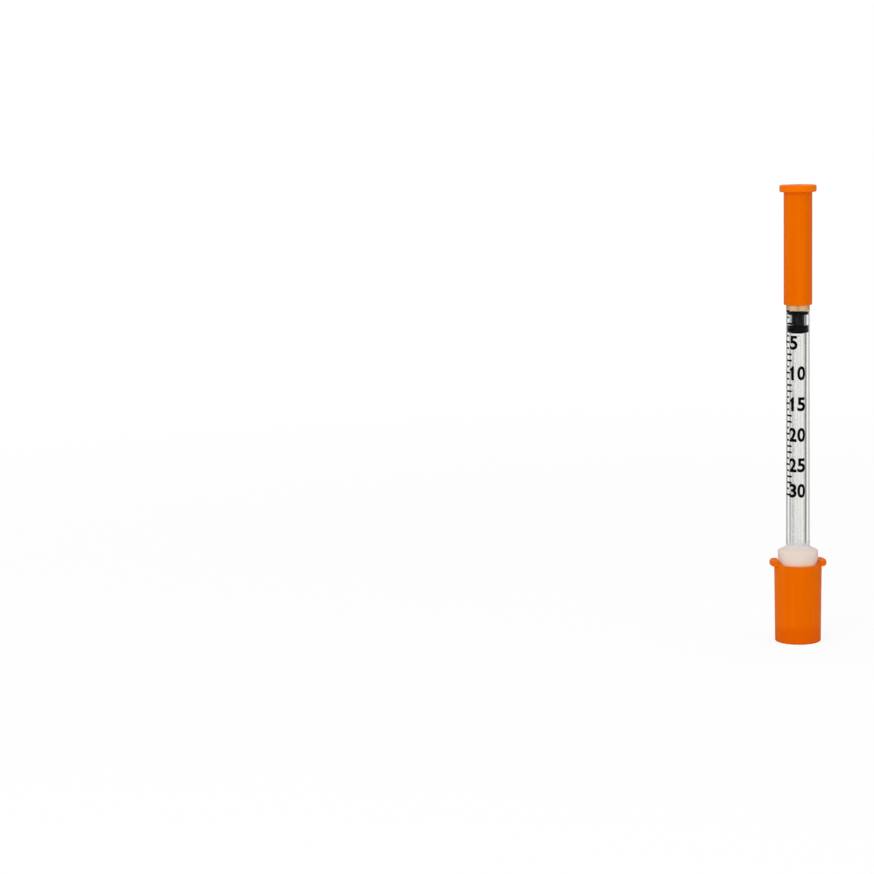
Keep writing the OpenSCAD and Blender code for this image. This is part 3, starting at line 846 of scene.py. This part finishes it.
# %% Tree that rolls a flat drawing on to the tube
rolled, given = geometry_tree(
    "roll_on_tube", Roll_radius="Float", Tube_radius="Float", Draft="Float", Foot="Float",
    Material="Material")
position = add(rolled, "GeometryNodeInputPosition")
x, y, z = add(rolled, "ShaderNodeSeparateXYZ", (position,)).outputs
rise = add(rolled, "ShaderNodeMath", (z, given["Foot"]), operation="SUBTRACT")
loss = add(rolled, "ShaderNodeMath", (rise, given["Draft"]), operation="MULTIPLY")
radius = add(rolled, "ShaderNodeMath", (given["Tube radius"], loss), operation="SUBTRACT")
angle = add(rolled, "ShaderNodeMath", (x, given["Roll radius"]), operation="DIVIDE")
sine = add(rolled, "ShaderNodeMath", (angle,), operation="SINE")
cosine = add(rolled, "ShaderNodeMath", (angle,), operation="COSINE")
towards_camera = add(rolled, "ShaderNodeMath", (cosine, -1), operation="MULTIPLY")
round_x = add(rolled, "ShaderNodeMath", (radius, sine), operation="MULTIPLY")
round_y = add(rolled, "ShaderNodeMath", (radius, towards_camera), operation="MULTIPLY")
spot = add(rolled, "ShaderNodeCombineXYZ", (round_x, round_y, z))
placed = add(rolled, "GeometryNodeSetPosition", {"Geometry": given["Geometry"], "Position": spot})
end_tree(rolled, placed, given)

# %% Print on the barrel
INK_SINK, INK_T = 0.003, 0.015
ROLL = {
    "Roll radius": ROLL_R * MM, "Tube radius": (TUBE_R - INK_SINK) * MM,
    "Draft": (TUBE_R - TUBE_TIP_R) / (SHOULDER_Z - TUBE_Z), "Foot": TUBE_Z * MM, "Material": ink,
}


def printed(name, start, *steps):
    made = grown(name, start, *steps, (rolled, ROLL))
    solid = made.modifiers.new("ink", "SOLIDIFY")
    solid.thickness, solid.offset = INK_T * MM, 1
    keep_result(made)
    face_outwards(made.data)
    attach(made, "barrel")


printed("scale_marks", bpy.data.meshes.new("empty"), (marks, {
    "Count": UNITS + 1, "Spacing": UNIT_L * MM, "Start": ZERO_Z * MM, "Thickness": MARK_T * MM,
    "Material": ink,
}))

# %% [markdown]
# The numbers are plain upright figures, bold and narrow. Blender's own font gives them once its
# strokes are thickened and its width is drawn in. Its figure one has no flag, so that one is
# drawn as a small polygon.

# %% Shape of a figure
DIGIT_H, DIGIT_W, DIGIT_GAP = 3.1, 1.8, 0.15
STROKE, CURVE_STEPS = 0.033, 6
ONE = [(0.52, 0), (1.2, 0), (1.2, DIGIT_H), (0.76, DIGIT_H), (0.58, 2.74), (0.16, 2.46),
       (0.16, 1.96), (0.52, 2.18)]


def digit_shape(digit):
    if digit == "1":
        return ONE, [tuple(range(len(ONE)))]
    text = bpy.data.curves.new(digit, "FONT")
    text.body, text.offset, text.resolution_u = digit, STROKE, CURVE_STEPS
    letter = link(digit, text)
    mesh = evaluated_mesh(letter)
    bpy.data.objects.remove(letter)
    spots = [v.co for v in mesh.vertices]
    low = Vector(map(min, *spots))
    size = Vector(map(max, *spots)) - low
    points = [((p.x - low.x) / size.x * DIGIT_W, (p.y - low.y) / size.y * DIGIT_H) for p in spots]
    return points, [tuple(p.vertices) for p in mesh.polygons]


# %% Numbers in their places
# Where a number of one or of two figures starts, in degrees round the tube
NUMBER_LEFT = {1: -17, 2: -21.5}
# How far the middle of each number stands above its mark
NUMBER_RISE = {5: -0.1, 10: -0.05, 15: -0.12, 20: -0.14, 25: -0.13, 30: 0.95}

points, faces = [], []
for number, number_rise in NUMBER_RISE.items():
    start = math.radians(NUMBER_LEFT[len(str(number))]) * ROLL_R
    low = ZERO_Z - number * UNIT_L + number_rise - DIGIT_H / 2
    for i, digit in enumerate(str(number)):
        shape, shape_faces = digit_shape(digit)
        left = start + i * (DIGIT_W + DIGIT_GAP)
        faces += [tuple(corner + len(points) for corner in face) for face in shape_faces]
        points += [((x + left) * MM, 0, (y + low) * MM) for x, y in shape]
flat = bpy.data.meshes.new("numbers")
flat.from_pydata(points, [], faces)
print("numbers:", list(NUMBER_RISE), len(faces), "flat faces")

# %% [markdown]
# A flat figure has to bend with the tube, so it is cut into narrow strips before it is rolled on.

# %% Cut into strips and print
STRIP, FIRST_CUT, LAST_CUT = 0.14, -16, 39
# Distances in metres that count as none
SAME_POINT, ON_PLANE = 1e-7, 1e-8

cut = bmesh.new()
cut.from_mesh(flat)
bmesh.ops.remove_doubles(cut, verts=cut.verts, dist=SAME_POINT)
for i in range(FIRST_CUT, LAST_CUT + 1):
    bmesh.ops.bisect_plane(cut, geom=cut.verts[:] + cut.edges[:] + cut.faces[:],
                           plane_co=(i * STRIP * MM, 0, 0), plane_no=(1, 0, 0), dist=ON_PLANE)
for face in cut.faces:
    face.normal_update()
    if face.normal.y > 0:
        face.normal_flip()
cut.to_mesh(flat)
cut.free()
printed("scale_numbers", flat)

# %% [markdown]
# ## Sizes, and the end
#
# Looks never change a size. The box of the dressed syringe has to stay in the box of the CAD
# model.

# %% Standard view transform
bpy.context.scene.view_settings.view_transform = "Standard"
